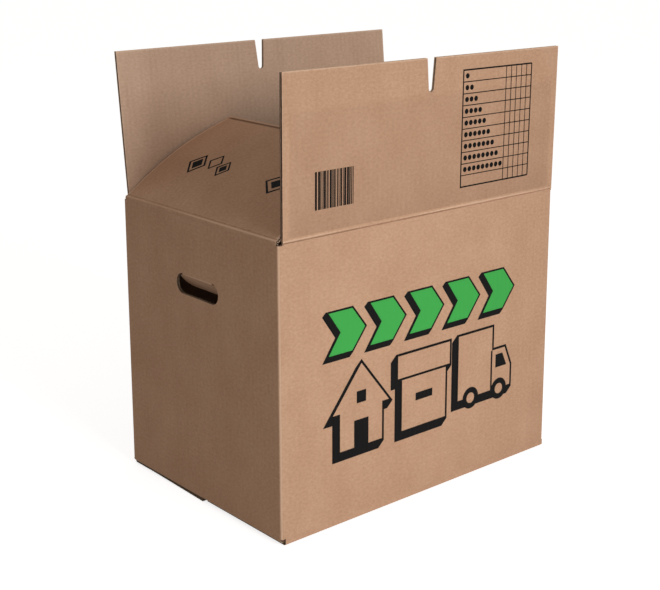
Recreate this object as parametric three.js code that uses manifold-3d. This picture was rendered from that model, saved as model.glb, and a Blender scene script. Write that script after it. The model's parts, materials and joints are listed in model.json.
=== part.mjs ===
// Open-topped slotted moving box of single-wall corrugated board, millimetres, +Z up.
// X runs along the long front panel, -Y is the front, and the box stands on z = 0.
import * as THREE from "three";
import { mergeVertices } from "three/addons/utils/BufferGeometryUtils.js";
import Module from "manifold-3d";

const wasm = await Module();
wasm.setup();

// Board and box
const board = 4; // thickness of the corrugated board
const boxLength = 456; // outside, along X
const boxWidth = 318; // outside, along Y
const wallHeight = 360; // end wall, from its bottom fold to its top fold
const liftGap = 0.3; // air between two layers or two faces of a fold
const longFoldDrop = 1.5; // how far the long top folds lie below the end folds
const cornerRadius = board; // outside bend of the upright corners
const innerCornerRadius = 0.6;

// Slots between the flaps
const slotDepth = 4.6; // how far each slot runs past its fold into the corner
const slotOnEnd = 4.4; // how much of the end wall each slot takes
const flapLeftInset = 6.2; // left end of a long flap from the box's left face
const flapRightInset = 0.8; // right end of a long flap from the box's right face

// Top flaps
const flapLength = 186.5;
const frontLean = 2; // degrees that the front flap leans outward
const backLean = 4; // degrees that the back flap leans outward
const endFlapTurn = 62.8; // degrees that the end flaps are pushed inward
const endFlapBow = 9; // how far an end flap bows up between its fold and its free edge
const endFlapSideGap = 1.2; // end flap to the inside of a long wall
const flapSkew = 4; // sideways shift of a long flap's free edge, as it was cut
const bowSteps = 14;

// Interlocking notch in the middle of a long flap's free edge
const notchMouth = 14.5;
const notchRoot = 8.5;
const notchDepth = 40;
const notchRootRadius = 4;
const arcSteps = 8;

// Hand hole in each end wall, with its hinged tab still in place
const holeLength = 86.5;
const holeHeight = 25.5;
const holeTopBelowFold = 75;
const tabGap = 0.7;
const tabTurn = 40; // degrees that the tab is pushed inward
const tabRelief = 6.1; // how far down the cut at the tab's upper corners begins
const tabReliefWidth = 4; // how far in from the tab's end the cut begins

// Bottom flaps and the glued lap
const bottomSeamGap = 4;
const backBottomInset = 1.8; // left end of the back outer flap from the left face, at its free edge
const backBottomSkew = 4; // how much further in that end lies at its fold
const bottomBendRadius = board;
const lapWidth = 34;
const lapEndGap = 12;
const lapDrop = 8;
const overlap = 1; // how far solids that become one piece are run into each other

// Positions that follow
const halfLength = boxLength / 2;
const halfWidth = boxWidth / 2;
const endFoldLow = board + liftGap;
const endFoldHigh = endFoldLow + wallHeight;
const longFoldHigh = endFoldHigh - longFoldDrop;
const holeTop = endFoldHigh - holeTopBelowFold;
const bottomFlapLength = halfWidth - bottomSeamGap / 2;

function toSolid(geometry) {
  geometry.deleteAttribute("normal");
  geometry.deleteAttribute("uv");
  const merged = mergeVertices(geometry, 1e-4);
  return new wasm.Manifold(new wasm.Mesh({
    numProp: 3,
    vertProperties: new Float32Array(merged.attributes.position.array),
    triVerts: new Uint32Array(merged.index.array),
  }));
}

function toGeometry(solid) {
  const mesh = solid.getMesh();
  const geometry = new THREE.BufferGeometry();
  geometry.setAttribute("position", new THREE.BufferAttribute(new Float32Array(mesh.vertProperties), 3));
  geometry.setIndex(new THREE.BufferAttribute(new Uint32Array(mesh.triVerts), 1));
  const flat = geometry.toNonIndexed();
  flat.computeVertexNormals();
  return flat;
}

function boxBetween(low, high) {
  const size = high.map((value, axis) => value - low[axis]);
  const centre = high.map((value, axis) => (value + low[axis]) / 2);
  return new THREE.BoxGeometry(...size).translate(...centre);
}

function outline(points) {
  return new THREE.Shape(points.map(([across, up]) => new THREE.Vector2(across, up)));
}

// A sheet whose outline is drawn in X and Z, with its outer face on y = 0 and its body behind it
function uprightSheet(points) {
  const geometry = new THREE.ExtrudeGeometry(outline(points), { depth: board, bevelEnabled: false });
  return geometry.rotateX(Math.PI / 2).translate(0, board, 0);
}

// A strip whose section is drawn in X and Z and that runs along Y
function stripAlongY(points, from, to) {
  const geometry = new THREE.ExtrudeGeometry(outline(points), { depth: to - from, bevelEnabled: false });
  return geometry.rotateX(Math.PI / 2).translate(0, to, 0);
}

function arc(centreAcross, centreUp, radius, startDegrees, endDegrees, steps = arcSteps) {
  const points = [];
  for (let step = 0; step <= steps; step += 1) {
    const angle = THREE.MathUtils.degToRad(startDegrees + ((endDegrees - startDegrees) * step) / steps);
    points.push([centreAcross + radius * Math.cos(angle), centreUp + radius * Math.sin(angle)]);
  }
  return points;
}

function roundedRectangle(length, width, radius) {
  const across = length / 2 - radius;
  const up = width / 2 - radius;
  return [
    ...arc(across, -up, radius, -90, 0),
    ...arc(across, up, radius, 0, 90),
    ...arc(-across, up, radius, 90, 180),
    ...arc(-across, -up, radius, 180, 270),
  ];
}

// The four walls as one tube with rounded upright corners, above the bottom slots
function wallTube() {
  const shape = outline(roundedRectangle(boxLength, boxWidth, cornerRadius));
  const inside = roundedRectangle(boxLength - 2 * board, boxWidth - 2 * board, innerCornerRadius);
  shape.holes.push(outline(inside.reverse()));
  const low = endFoldLow + slotDepth;
  const geometry = new THREE.ExtrudeGeometry(shape, { depth: endFoldHigh - low, bevelEnabled: false });
  return toSolid(geometry.translate(0, 0, low));
}

// Section of a wall's foot and its bottom flap, from the outer face at 0 inward along +X
function bottomFoldSection(low, flapEnd) {
  const wallTop = endFoldLow + slotDepth + overlap;
  return [
    [0, wallTop],
    ...arc(bottomBendRadius, low + bottomBendRadius, bottomBendRadius, 180, 270),
    [flapEnd, low],
    [flapEnd, low + board],
    [board + innerCornerRadius, low + board],
    [board, low + board + innerCornerRadius],
    [board, wallTop],
  ];
}

function bottomFlaps() {
  const endStrip = stripAlongY(
    bottomFoldSection(endFoldLow, bottomFlapLength),
    -halfWidth + slotOnEnd,
    halfWidth - slotOnEnd,
  );
  const left = toSolid(endStrip.clone().translate(-halfLength, 0, 0));
  const right = toSolid(endStrip.clone().rotateZ(Math.PI).translate(halfLength, 0, 0));
  const longSection = bottomFoldSection(0, bottomFlapLength);
  const rightEnd = halfLength - flapRightInset;
  const frontStrip = stripAlongY(longSection, -rightEnd, halfLength - flapLeftInset);
  const front = toSolid(frontStrip.rotateZ(Math.PI / 2).translate(0, -halfWidth, 0));
  const backStrip = stripAlongY(longSection, -halfLength + backBottomInset, rightEnd);
  const back = toSolid(backStrip.rotateZ(-Math.PI / 2).translate(0, halfWidth, 0));
  return [left, right, front, back.subtract(backBottomTrim())];
}

// The sliver that makes the back outer flap's left end run out of square
function backBottomTrim() {
  const leftEnd = -halfLength + backBottomInset;
  const freeEdge = halfWidth - bottomFlapLength;
  const low = -overlap;
  const geometry = new THREE.ExtrudeGeometry(outline([
    [leftEnd - overlap, freeEdge],
    [leftEnd, freeEdge],
    [leftEnd + backBottomSkew, halfWidth + overlap],
    [leftEnd - overlap, halfWidth + overlap],
  ]), { depth: endFoldLow + slotDepth + 3 * overlap, bevelEnabled: false });
  return toSolid(geometry.translate(0, 0, low));
}

// The manufacturer's lap, glued inside the right end wall at the back corner
function glueLap() {
  return toSolid(boxBetween(
    [halfLength - 2 * board, halfWidth - board - lapWidth, endFoldLow + board + lapDrop + lapEndGap],
    [halfLength - board + overlap / 2, halfWidth - board + overlap / 2, endFoldHigh - lapDrop - lapEndGap],
  ));
}

function stadium(length, height) {
  const radius = height / 2;
  const across = length / 2 - radius;
  return [...arc(across, 0, radius, -90, 90, 2 * arcSteps), ...arc(-across, 0, radius, 90, 270, 2 * arcSteps)];
}

function handHoleCutter() {
  const geometry = new THREE.ExtrudeGeometry(outline(stadium(holeLength, holeHeight)), {
    depth: boxLength + 2 * board,
    bevelEnabled: false,
  });
  geometry.rotateX(Math.PI / 2).rotateZ(Math.PI / 2);
  return toSolid(geometry.translate(-halfLength - board, 0, holeTop - holeHeight / 2));
}

// Wedges that bevel the end walls' top folds inward, so that the flaps can lie flat
function foldBevels() {
  const reach = board + overlap;
  const section = [[0, 0], [reach, -reach], [reach, overlap], [0, overlap]];
  const strip = stripAlongY(section, -boxWidth, boxWidth);
  return [
    toSolid(strip.clone().translate(-halfLength, 0, endFoldHigh)),
    toSolid(strip.clone().rotateZ(Math.PI).translate(halfLength, 0, endFoldHigh)),
  ];
}

// The same bevel over each hand hole, where its tab folds
function tabBevels() {
  const section = [[0, 0], [board + overlap, board + overlap], [board + overlap, -overlap], [0, -overlap]];
  const flat = holeLength / 2 - holeHeight / 2 - tabGap;
  const strip = stripAlongY(section, -flat, flat);
  return [
    toSolid(strip.clone().translate(-halfLength, 0, holeTop)),
    toSolid(strip.clone().rotateZ(Math.PI).translate(halfLength, 0, holeTop)),
  ];
}

function topSlots() {
  const cutters = [];
  const leftReach = flapLeftInset;
  for (const side of [-1, 1]) {
    const nearY = side * (halfWidth - slotOnEnd);
    const farY = side * (halfWidth + overlap);
    const [lowY, highY] = [Math.min(nearY, farY), Math.max(nearY, farY)];
    cutters.push(toSolid(boxBetween(
      [-halfLength - overlap, lowY, endFoldHigh - slotDepth],
      [-halfLength + leftReach, highY, endFoldHigh + overlap],
    )));
    cutters.push(toSolid(boxBetween(
      [halfLength - slotOnEnd, lowY, endFoldHigh - slotDepth],
      [halfLength + overlap, highY, endFoldHigh + overlap],
    )));
    const wallLow = side * (halfWidth - board);
    const [trimLow, trimHigh] = [Math.min(wallLow, farY), Math.max(wallLow, farY)];
    cutters.push(toSolid(boxBetween(
      [-halfLength - overlap, trimLow, longFoldHigh],
      [halfLength + overlap, trimHigh, endFoldHigh + overlap],
    )));
  }
  return cutters;
}

function bodySolid() {
  let solid = wallTube();
  for (const piece of bottomFlaps()) solid = solid.add(piece);
  solid = solid.add(glueLap());
  for (const cutter of [handHoleCutter(), ...foldBevels(), ...tabBevels(), ...topSlots()]) {
    solid = solid.subtract(cutter);
  }
  return solid;
}

// Long top flap: foot on z = 0, free edge with its tapered round-bottomed notch
function longFlapOutline() {
  const foot = liftGap;
  const rootSide = notchRoot / 2;
  const mouthSide = notchMouth / 2;
  const notchBottom = flapLength - notchDepth;
  const middle = -flapSkew / 2;
  return [
    [-halfLength + flapLeftInset, foot],
    [halfLength - flapRightInset, foot],
    [halfLength - flapRightInset - flapSkew, flapLength],
    [middle + mouthSide, flapLength],
    ...arc(middle, notchBottom + notchRootRadius, rootSide, 0, -180),
    [middle - mouthSide, flapLength],
    [-halfLength + flapLeftInset - flapSkew, flapLength],
  ];
}

function longFlapGeometry() {
  return toGeometry(toSolid(uprightSheet(longFlapOutline())));
}

// End top flap drawn upright: outer face on x = 0, body towards +X, bowed towards its outer face
function endFlapSection() {
  const outer = [];
  const inner = [];
  for (let step = 0; step <= bowSteps; step += 1) {
    const along = step / bowSteps;
    const height = liftGap + (flapLength - liftGap) * along;
    const bow = -endFlapBow * Math.sin(Math.PI * along);
    const slope = (-endFlapBow * Math.PI * Math.cos(Math.PI * along)) / flapLength;
    const stretch = Math.hypot(1, slope);
    outer.push([bow, height]);
    inner.push([bow + board / stretch, height - (board * slope) / stretch]);
  }
  inner[0] = [board + slopeAtFoot(board), liftGap + board];
  return [...outer, ...inner.reverse()];
}

// How far the bowed inner face has moved sideways where the foot's bevel meets it
function slopeAtFoot(height) {
  return -endFlapBow * Math.sin((Math.PI * height) / flapLength);
}

function endFlapGeometry() {
  const reach = halfWidth - board - endFlapSideGap;
  return toGeometry(toSolid(stripAlongY(endFlapSection(), -reach, reach)));
}

// Hand-hole tab drawn hanging from y = 0 to -holeHeight, outer face on x = 0
function tabOutline() {
  const radius = holeHeight / 2 - tabGap;
  const across = holeLength / 2 - holeHeight / 2;
  const middle = -holeHeight / 2;
  const side = across + radius;
  const neck = across - 2 * tabGap; // narrow enough to turn under the bevel over the hole
  const upper = [
    ...arc(across, middle, radius, -90, 20),
    [side - tabReliefWidth, -tabRelief],
    [neck, -board - tabGap],
    [neck, -liftGap],
  ];
  const left = upper.map(([across_, up]) => [-across_, up]).reverse();
  return [...upper, ...left];
}

function tabGeometry() {
  const sheet = uprightSheet(tabOutline()).rotateZ(-Math.PI / 2);
  const reach = board + overlap;
  const bevelSection = [[0, -liftGap], [reach, -reach - liftGap], [reach, overlap], [-overlap, overlap], [-overlap, -liftGap]];
  const bevel = toSolid(stripAlongY(bevelSection, -holeLength, holeLength));
  return toGeometry(toSolid(sheet).subtract(bevel));
}

function cardboard(name, colour) {
  return new THREE.MeshStandardMaterial({ name, color: colour, roughness: 0.9, metalness: 0 });
}

const kraft = 0xb79276;

function mesh(name, geometry) {
  const piece = new THREE.Mesh(geometry, cardboard(name, kraft));
  piece.name = name;
  return piece;
}

// A group on a fold line, turned about X or Y by the angle given in degrees
function onFold(position, turn, child) {
  const group = new THREE.Group();
  group.position.set(...position);
  group.rotation.set(...turn.map(THREE.MathUtils.degToRad));
  group.add(child);
  return group;
}

// A piece drawn for the left end, placed again at the right end by half a turn
function atRightEnd(child) {
  const group = new THREE.Group();
  group.rotation.z = Math.PI;
  group.add(child);
  return group;
}

const box = new THREE.Group();
box.name = "moving_box";

box.add(mesh("body", toGeometry(bodySolid())));

box.add(onFold([0, -halfWidth, longFoldHigh], [frontLean, 0, 0], mesh("front_top_flap", longFlapGeometry())));

const backFlap = longFlapGeometry().translate(0, -board, 0);
box.add(onFold([0, halfWidth, longFoldHigh], [-backLean, 0, 0], mesh("back_top_flap", backFlap)));

const leftFold = [-halfLength, 0, endFoldHigh];
const leftTabFold = [-halfLength, 0, holeTop];
box.add(onFold(leftFold, [0, endFlapTurn, 0], mesh("left_top_flap", endFlapGeometry())));
box.add(atRightEnd(onFold(leftFold, [0, endFlapTurn, 0], mesh("right_top_flap", endFlapGeometry()))));
box.add(onFold(leftTabFold, [0, -tabTurn, 0], mesh("left_hand_tab", tabGeometry())));
box.add(atRightEnd(onFold(leftTabFold, [0, -tabTurn, 0], mesh("right_hand_tab", tabGeometry()))));

export default box;
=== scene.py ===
# %% [markdown]
# # A moving box, open and half folded
#
# This lesson dresses the plain model of a corrugated moving box. The real box is one sheet of
# brown corrugated board: two flat papers, the liners, with a wavy paper, the fluting, glued in
# between. We build those three papers for every panel, because the cut edges of the flaps, the
# notches and the hand holes show them. Solid slabs with a painted edge would look wrong there.

# %% Load the frame
import json
import math
import random

import bmesh
import bpy
import numpy as np
from mathutils import Matrix, Vector
from mathutils.geometry import tessellate_polygon


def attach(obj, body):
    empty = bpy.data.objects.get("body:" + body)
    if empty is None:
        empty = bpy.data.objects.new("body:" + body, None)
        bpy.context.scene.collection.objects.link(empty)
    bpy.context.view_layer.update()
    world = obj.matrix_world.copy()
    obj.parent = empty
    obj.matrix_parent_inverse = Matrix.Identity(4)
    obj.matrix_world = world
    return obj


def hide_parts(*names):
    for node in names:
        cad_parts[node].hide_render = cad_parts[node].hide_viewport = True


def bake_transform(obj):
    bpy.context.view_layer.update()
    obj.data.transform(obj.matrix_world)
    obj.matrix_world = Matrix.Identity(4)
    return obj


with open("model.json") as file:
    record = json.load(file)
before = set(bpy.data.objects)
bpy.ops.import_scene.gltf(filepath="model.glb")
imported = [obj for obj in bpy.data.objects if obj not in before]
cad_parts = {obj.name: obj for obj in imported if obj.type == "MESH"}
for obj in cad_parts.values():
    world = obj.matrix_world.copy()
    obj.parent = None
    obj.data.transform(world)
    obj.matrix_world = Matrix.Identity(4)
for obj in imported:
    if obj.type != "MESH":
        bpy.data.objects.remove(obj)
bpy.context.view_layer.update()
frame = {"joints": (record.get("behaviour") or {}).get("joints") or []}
MM = 0.001

# %% [markdown]
# ## The sizes
#
# These are the sizes of the plain model in millimetres, and angles in degrees. The heights of the
# folds could be typed in too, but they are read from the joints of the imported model, so a fold
# can't drift away from its hinge. Real liners are thinner, about a third of these. The thicker
# paper keeps the pale lines of a cut edge visible from a step away.

# %% Sizes of the board and the box
BOARD = 4.0
LINER = 0.8
FLUTE_PITCH = 7.6
FLUTE_STEPS = 6  # columns of points in one wave of the fluting
FLUTE_PAPER = 0.5
BOX_LENGTH = 456.0
BOX_WIDTH = 318.0
HALF_LENGTH = BOX_LENGTH / 2
HALF_WIDTH = BOX_WIDTH / 2
BEND = 3.4  # outside radius of the upright corners
GAP = 0.3  # air between two layers of board
SLOT_DEPTH = 4.6
SLOT_ON_END = 4.4
CORNER_SLOT_SHOWN = 2.0  # how much of each bottom slot stays open at the corner
BOTTOM_SEAM = 4.0
BACK_BOTTOM_INSET = 1.8
BACK_BOTTOM_SKEW = 4.0
LAP_WIDTH = 34.0

# %% Sizes of the flaps, the notches and the hand holes
FLAP = 186.5
CREASE = 4.0  # how far above its fold a flap's flat part begins
FLAP_LEFT_INSET = 6.2
FLAP_RIGHT_INSET = 0.8
FLAP_SKEW = 4.0
FRONT_TRIM = (2.8, 0.2)  # how much longer the free edge is at its left and right end
BACK_TRIM = (-3.1, -2.4)
END_FLAP_SIDE_GAP = 1.2
END_FLAP_HALF = HALF_WIDTH - BOARD - END_FLAP_SIDE_GAP
END_FLAP_BOW = 9.0
FRONT_LEAN = 2.0
BACK_LEAN = 4.0
END_TURN = 62.8
NOTCH_MOUTH = 14.5
NOTCH_ROOT = 8.5
NOTCH_DEPTH = 40.0
HOLE_LENGTH = 86.5
HOLE_HEIGHT = 25.5
TAB_TURN = 40.0
TAB_START = 4.2  # how far below the top of the hole a tab's flat part begins

joint_place = {joint["name"]: joint["pos_m"] for joint in frame["joints"]}
LONG_FOLD = joint_place["front_flap_fold"][2] / MM
END_FOLD = joint_place["left_flap_fold"][2] / MM
HOLE_TOP = joint_place["left_tab_fold"][2] / MM
END_LOW = BOARD + GAP
RING_LOW = END_LOW + SLOT_DEPTH
RING_HIGH = END_FOLD - SLOT_DEPTH
print("folds at", LONG_FOLD, END_FOLD, "hand hole top at", HOLE_TOP)

# %% [markdown]
# ## The camera
#
# The photo was taken with a long lens from the front left, a little above the box. A camera can
# be placed by eye, but this one was fitted to the straight edges of the box, which gives its
# place, its turn and its lens at once. The picture was cropped off centre, so a small lens shift
# puts the box where the photo has it.

# %% Camera
CAMERA_TURN = math.radians(-41.38)
CAMERA_TILT = math.radians(13.15)
CAMERA_ROLL = math.radians(0.14)
CAMERA_PLACE = Vector((-1.094, -1.272, 0.7273))
FOCAL_PIXELS = 1327.9
PICTURE_WIDTH = 660
PICTURE_HEIGHT = 590
OPTICAL_CENTRE = (356.8, 212.6)
SENSOR = 36.0


def camera_axes():
    back = Vector((
        math.sin(CAMERA_TURN) * math.cos(CAMERA_TILT),
        -math.cos(CAMERA_TURN) * math.cos(CAMERA_TILT),
        math.sin(CAMERA_TILT),
    ))
    right = (-back).cross(Vector((0, 0, 1))).normalized()
    up = right.cross(-back)
    cos_roll, sin_roll = math.cos(CAMERA_ROLL), math.sin(CAMERA_ROLL)
    return cos_roll * right + sin_roll * up, cos_roll * up - sin_roll * right, back


def make_camera():
    camera = bpy.data.objects.new("camera", bpy.data.cameras.new("camera"))
    right, up, back = camera_axes()
    turn = Matrix((right, up, back)).transposed().to_4x4()
    camera.matrix_world = Matrix.Translation(CAMERA_PLACE) @ turn
    camera.data.sensor_width = SENSOR
    camera.data.lens = FOCAL_PIXELS * SENSOR / PICTURE_WIDTH
    camera.data.shift_x = (PICTURE_WIDTH / 2 - OPTICAL_CENTRE[0]) / PICTURE_WIDTH
    camera.data.shift_y = (OPTICAL_CENTRE[1] - PICTURE_HEIGHT / 2) / PICTURE_WIDTH
    bpy.context.collection.objects.link(camera)
    bpy.context.scene.camera = camera
    return camera


print("lens", round(make_camera().data.lens, 2), "mm")

# %% [markdown]
# ## Sheets of paper
#
# A sheet is drawn flat, as it lies on the cutting table: u runs across the flutes and v along
# them. Columns of points stand at each u, and the caller says how far each row reaches in that
# column, so a row can follow a round hole or a notch. Cells that the knife took out are left
# empty. Then every point is folded into its place in the box. The same grid makes a liner or
# the fluting: the fluting only swings from one face of the board to the other as u grows. Each
# panel could be drawn by hand, but one function that asks where the rows end makes them all.


# %% Which cells of the grid hold paper
NOTHING = 1e-6  # a cell smaller than this has no paper in it
FACE, CUT_ACROSS, CUT_ALONG = range(3)
NEIGHBOURS = ((0, -1), (1, 0), (0, 1), (-1, 0))  # the cell across each side of a cell, in turn


def kept_cells(columns, rows, keep):
    count_u, count_v = rows.shape
    kept = np.zeros((count_u - 1, count_v - 1), bool)
    for i in range(count_u - 1):
        if columns[i + 1] - columns[i] < NOTHING:
            continue
        middle_u = (columns[i] + columns[i + 1]) / 2
        for j in range(count_v - 1):
            middle_v = (rows[i, j] + rows[i, j + 1] + rows[i + 1, j] + rows[i + 1, j + 1]) / 4
            tall = max(rows[i, j + 1] - rows[i, j], rows[i + 1, j + 1] - rows[i + 1, j])
            kept[i, j] = tall > NOTHING and keep(middle_u, middle_v)
    return kept


def cell_faces(kept, i, j, behind):
    """Two faces of one cell of paper, and a cut face on each side that has no neighbour."""
    count_u, count_v = kept.shape
    first = i * (count_v + 1) + j
    second = first + count_v + 1
    corners = (first, second, second + 1, first + 1)
    faces = [(corners, FACE), (tuple(behind + c for c in reversed(corners)), FACE)]
    for side, (step_i, step_j) in enumerate(NEIGHBOURS):
        next_i, next_j = i + step_i, j + step_j
        inside = 0 <= next_i < count_u and 0 <= next_j < count_v
        if inside and kept[next_i, next_j]:
            continue
        a, b = corners[side], corners[(side + 1) % 4]
        faces.append(((b, a, behind + a, behind + b), CUT_ALONG if step_i else CUT_ACROSS))
    return faces


def everywhere(u, v):
    return True


# %% A closed sheet from the grid
def paper_sheet(columns, rows_at, keep, place, near_face, far_face, wear_at):
    """Points, faces, flat coordinates and wear of one closed sheet between two depths."""
    rows = np.array([rows_at(u) for u in columns])
    points, flat, wear_and_shade = [], [], []
    for face in (near_face, far_face):
        for u, heights in zip(columns, rows):
            for v in heights:
                points.append(place(u, v, face(u)))
                flat.append((u * MM, v * MM))
                wear_and_shade.append(wear_at(u, v))
    kept = kept_cells(columns, rows, keep)
    faces = []
    for i, j in zip(*np.nonzero(kept)):
        faces += cell_faces(kept, i, j, rows.size)
    return points, faces, flat, wear_and_shade


def span(start, stop, step):
    """Evenly spaced values from start to stop, about step apart, with both ends."""
    return list(np.linspace(start, stop, max(2, int(math.ceil((stop - start) / step)) + 1)))


def merged_columns(*lists):
    return sorted({round(float(value), 4) for values in lists for value in values})


sample = paper_sheet(
    [0.0, 1.0], lambda u: [0.0, 1.0], everywhere, lambda u, v, depth: (u, v, depth),
    lambda u: 0.0, lambda u: LINER, lambda u, v: 0.0,
)
print("a sheet of one cell has", len(sample[0]), "points and", len(sample[1]), "faces")


# %% [markdown]
# ## The board
#
# A panel of corrugated board is three such sheets in one object. Each keeps its own material
# slot: the outer liner, the inner liner, the fluting, and the raw cut edge of the papers. A cut
# across the flutes is paler than the faces, because the knife opens the fibres. A cut along them
# keeps each paper's own colour, so the fluting, painted dark as painted shade, shows as a thin line
# between two pale ones. On the front flap these cuts get a fifth slot, painted nearly black as
# painted shade. One slab with a striped picture on its edges would be lighter, but the stripes
# wouldn't follow the round holes or throw shadows.

# %% Three papers make a board
SLOT_OUTER, SLOT_INNER, SLOT_FLUTING, SLOT_CUT, SLOT_EDGE_SHADE = range(5)
materials = {}
FLUTE_SWING = (BOARD - 2 * LINER - FLUTE_PAPER) / 2


def flute_middle(u):
    return BOARD / 2 + FLUTE_SWING * math.sin(2 * math.pi * u / FLUTE_PITCH)


def flute_near(u):
    return flute_middle(u) - FLUTE_PAPER / 2


def flute_far(u):
    return flute_middle(u) + FLUTE_PAPER / 2


BOARD_LAYERS = (
    (SLOT_OUTER, lambda u: 0.0, lambda u: LINER, None),
    (SLOT_FLUTING, flute_near, flute_far, FLUTE_PITCH / FLUTE_STEPS),
    (SLOT_INNER, lambda u: BOARD - LINER, lambda u: BOARD, None),
)
print("the fluting swings", round(FLUTE_SWING, 2), "mm to each side")


# %% A pile of sheets becomes one object
JOIN_DISTANCE = 0.00001  # metres


class Pile:
    """Gathers sheets into one mesh object. The cut faces can be given a slot of their own."""

    def __init__(self, name, cuts_across=SLOT_CUT, cuts_along=None):
        self.name, self.cuts_across, self.cuts_along = name, cuts_across, cuts_along
        self.points, self.faces, self.slots = [], [], []
        self.flat, self.wear_and_shade = [], []

    def add(self, sheet, slot):
        points, faces, flat, wear_and_shade = sheet
        along = slot if self.cuts_along is None else self.cuts_along
        slots = {FACE: slot, CUT_ACROSS: self.cuts_across, CUT_ALONG: along}
        start = len(self.points)
        self.points += points
        self.flat += flat
        self.wear_and_shade += wear_and_shade
        for corners, kind in faces:
            self.faces.append([start + c for c in corners])
            self.slots.append(slots[kind])

    def board(self, columns, rows_at, keep, place, wear_at, flute_wear_at=lambda u, v: 0.0):
        for slot, near, far, pitch in BOARD_LAYERS:
            fine = columns
            if pitch:
                fine = merged_columns(columns, span(columns[0], columns[-1], pitch))
            worn = flute_wear_at if slot == SLOT_FLUTING else wear_at
            sheet = paper_sheet(fine, rows_at, keep, place, near, far, worn)
            self.add(sheet, slot)

    def make_mesh(self, papers):
        mesh = bpy.data.meshes.new(self.name)
        mesh.from_pydata([tuple(c * MM for c in p) for p in self.points], [], self.faces)
        coordinates = mesh.uv_layers.new(name="flat")
        index = np.empty(len(mesh.loops), int)
        mesh.loops.foreach_get("vertex_index", index)
        coordinates.data.foreach_set("uv", np.array(self.flat, float)[index].ravel())
        wear_and_shade = mesh.attributes.new("wear_and_shade", "FLOAT", "POINT")
        wear_and_shade.data.foreach_set("value", np.array(self.wear_and_shade, float))
        mesh.polygons.foreach_set("material_index", self.slots)
        for paper in papers:
            mesh.materials.append(materials[paper])
        return mesh

    def finish(self, body, papers, replaces=()):
        """Makes the piece; it rides on body, if one is given, and stands for the replaced solids."""
        piece = bpy.data.objects.new(self.name, self.make_mesh(papers))
        bpy.context.collection.objects.link(piece)
        tidy_mesh(piece)
        if body:
            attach(piece, body)
        if replaces:
            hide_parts(*replaces)
        print(self.name, len(piece.data.polygons), "faces")
        return piece


def tidy_mesh(piece):
    """Joins points that lie on each other, so that round holes close, and turns faces outward."""
    work = bmesh.new()
    work.from_mesh(piece.data)
    bmesh.ops.remove_doubles(work, verts=work.verts, dist=JOIN_DISTANCE)
    bmesh.ops.dissolve_degenerate(work, edges=work.edges, dist=JOIN_DISTANCE / 10)
    bmesh.ops.recalc_face_normals(work, faces=work.faces)
    work.to_mesh(piece.data)
    work.free()


print("a board has", len(BOARD_LAYERS), "papers")


# %% [markdown]
# ## Paper materials
#
# Brown kraft paper is not one colour. Long fibres run with the papermaking machine, across the
# flutes, with darker clumps and specks between them. The liner sinks a little between the
# flutes, which shows as faint upright lines. Folds and corners are rubbed pale, some creases also
# get a painted highlight, and a few lines and patches get painted shade. A photo of paper could be
# wrapped around the box, but it would repeat and blur close up. Here each effect is a small node
# group of its own, built once and used by every paper.


# %% Node group helpers
def new_group(name, inputs, outputs):
    group = bpy.data.node_groups.new(name, "ShaderNodeTree")
    for socket, kind, value in inputs:
        made = group.interface.new_socket(name=socket, in_out="INPUT", socket_type=kind)
        if value is not None:
            made.default_value = value
    for socket, kind in outputs:
        group.interface.new_socket(name=socket, in_out="OUTPUT", socket_type=kind)
    return group, group.nodes.new("NodeGroupInput"), group.nodes.new("NodeGroupOutput")


def node(tree, kind, settings=None, **inputs):
    made = tree.nodes.new(kind)
    for name, value in (settings or {}).items():
        setattr(made, name, value)
    for name, value in inputs.items():
        socket = made.inputs[name.replace("_", " ")]
        if isinstance(value, bpy.types.NodeSocket):
            tree.links.new(value, socket)
        else:
            socket.default_value = value
    return made


def maths(tree, operation, first, second=None, clamp=False):
    made = tree.nodes.new("ShaderNodeMath")
    made.operation = operation
    made.use_clamp = clamp
    for place, value in enumerate((first, second)):
        if value is None:
            continue
        if isinstance(value, bpy.types.NodeSocket):
            tree.links.new(value, made.inputs[place])
        else:
            made.inputs[place].default_value = value
    return made.outputs[0]


MIX_FACTOR, MIX_FIRST, MIX_SECOND, MIX_RESULT = 0, 6, 7, 2  # the colour sockets of a Mix node


def mix_colour(tree, amount, first, second):
    made = tree.nodes.new("ShaderNodeMix")
    made.data_type = "RGBA"
    for place, value in ((MIX_FACTOR, amount), (MIX_FIRST, first), (MIX_SECOND, second)):
        socket = made.inputs[place]
        if isinstance(value, bpy.types.NodeSocket):
            tree.links.new(value, socket)
        else:
            socket.default_value = value
    return made.outputs[MIX_RESULT]


def between(tree, value, low, high, to_low=0.0, to_high=1.0):
    made = node(tree, "ShaderNodeMapRange", {"clamp": True}, Value=value)
    made.inputs["From Min"].default_value = low
    made.inputs["From Max"].default_value = high
    made.inputs["To Min"].default_value = to_low
    made.inputs["To Max"].default_value = to_high
    return made.outputs[0]


def noise(tree, coordinates, across, along, detail=2.0, rough=0.5):
    """Noise with so many patches to the metre across the flutes and along them."""
    stretched = node(tree, "ShaderNodeMapping", Vector=coordinates)
    stretched.inputs["Scale"].default_value = (across, along, 1.0)
    return node(
        tree, "ShaderNodeTexNoise", None,
        Vector=stretched.outputs[0], Scale=1.0, Detail=detail, Roughness=rough,
    ).outputs[0]


def swing(tree, value, size):
    """A value around a half turned into one around zero, with a swing of the given size."""
    return maths(tree, "MULTIPLY", maths(tree, "SUBTRACT", value, 0.5), size)


def scaled(tree, value, size):
    return maths(tree, "MULTIPLY", value, size)


print("helpers make nodes, sums, mixes and noise")


# %% Paper fibre group
SPECK_FROM, SPECK_TO = 0.72, 0.8


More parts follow.
